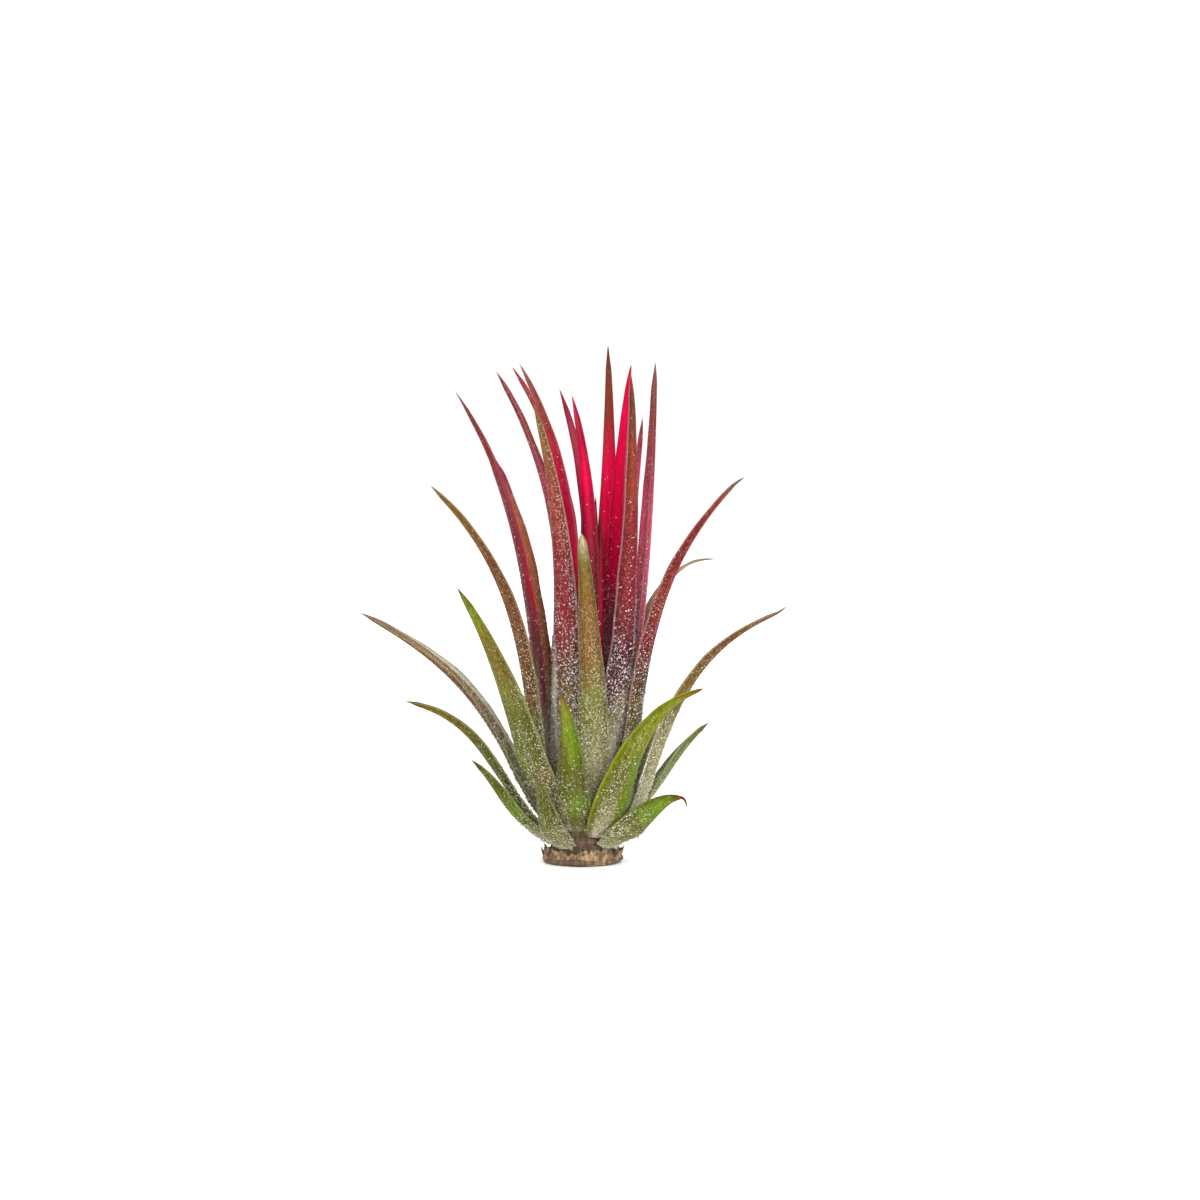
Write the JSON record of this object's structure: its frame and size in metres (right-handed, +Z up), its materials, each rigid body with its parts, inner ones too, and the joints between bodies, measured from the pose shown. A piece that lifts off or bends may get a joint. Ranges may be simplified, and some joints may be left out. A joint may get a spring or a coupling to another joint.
{
  "type": "air plant",
  "caption": "Small upright air plant: a rosette of narrow channelled leaves, red in the heart and green at the foot, on a short flat-footed stem.",
  "frame": {"origin": "centre of the flat foot of the stem, at the surface that the plant stands on", "axes": "+Z up along the stem, +X to the right and -Y to the front as the picture shows the plant"},
  "size_m": [0.0452, 0.0304, 0.055],
  "materials": {
    "stem_bark": "dry, scaly bark",
    "leaf_crimson": "smooth living leaf",
    "leaf_rose": "finely scaled living leaf",
    "leaf_russet": "finely scaled living leaf",
    "leaf_wine": "finely scaled living leaf",
    "leaf_bronze": "frosted living leaf",
    "leaf_olive": "frosted living leaf",
    "leaf_green": "frosted living leaf",
    "leaf_lime": "frosted living leaf"
  },
  "bodies": {
    "root": {"stem": "stem_bark", "leaf_heart_left": "leaf_crimson", "leaf_heart_right": "leaf_crimson", "leaf_heart_rear": "leaf_crimson", "leaf_upright_centre": "leaf_crimson", "leaf_upright_centre_rear": "leaf_rose", "leaf_upright_rear_crimson": "leaf_crimson", "leaf_upright_left_crimson": "leaf_crimson", "leaf_upright_left_tall": "leaf_russet", "leaf_upright_left_outer": "leaf_wine", "leaf_upright_front_left": "leaf_russet", "leaf_upright_front_right": "leaf_russet", "leaf_upright_right": "leaf_rose", "leaf_upright_right_short": "leaf_rose", "leaf_upright_rear_tall": "leaf_wine", "leaf_upright_rear": "leaf_wine", "leaf_leaning_left_red": "leaf_wine", "leaf_leaning_left_bronze": "leaf_bronze", "leaf_leaning_front": "leaf_bronze", "leaf_leaning_right_red": "leaf_russet", "leaf_leaning_right_dry": "leaf_bronze", "leaf_leaning_rear": "leaf_russet", "leaf_leaning_rear_left": "leaf_bronze", "leaf_leaning_rear_right": "leaf_olive", "leaf_arching_left": "leaf_olive", "leaf_arching_left_broad": "leaf_olive", "leaf_arching_right": "leaf_olive", "leaf_arching_front_right": "leaf_lime", "leaf_arching_rear": "leaf_olive", "leaf_arching_rear_left": "leaf_olive", "leaf_arching_rear_right": "leaf_green", "leaf_low_left": "leaf_olive", "leaf_low_left_short": "leaf_green", "leaf_low_front": "leaf_green", "leaf_low_front_hidden": "leaf_green", "leaf_low_right": "leaf_lime", "leaf_low_right_hooked": "leaf_green", "leaf_low_rear": "leaf_green", "leaf_low_rear_left": "leaf_green", "leaf_low_rear_right": "leaf_green"}
  },
  "joints": []
}
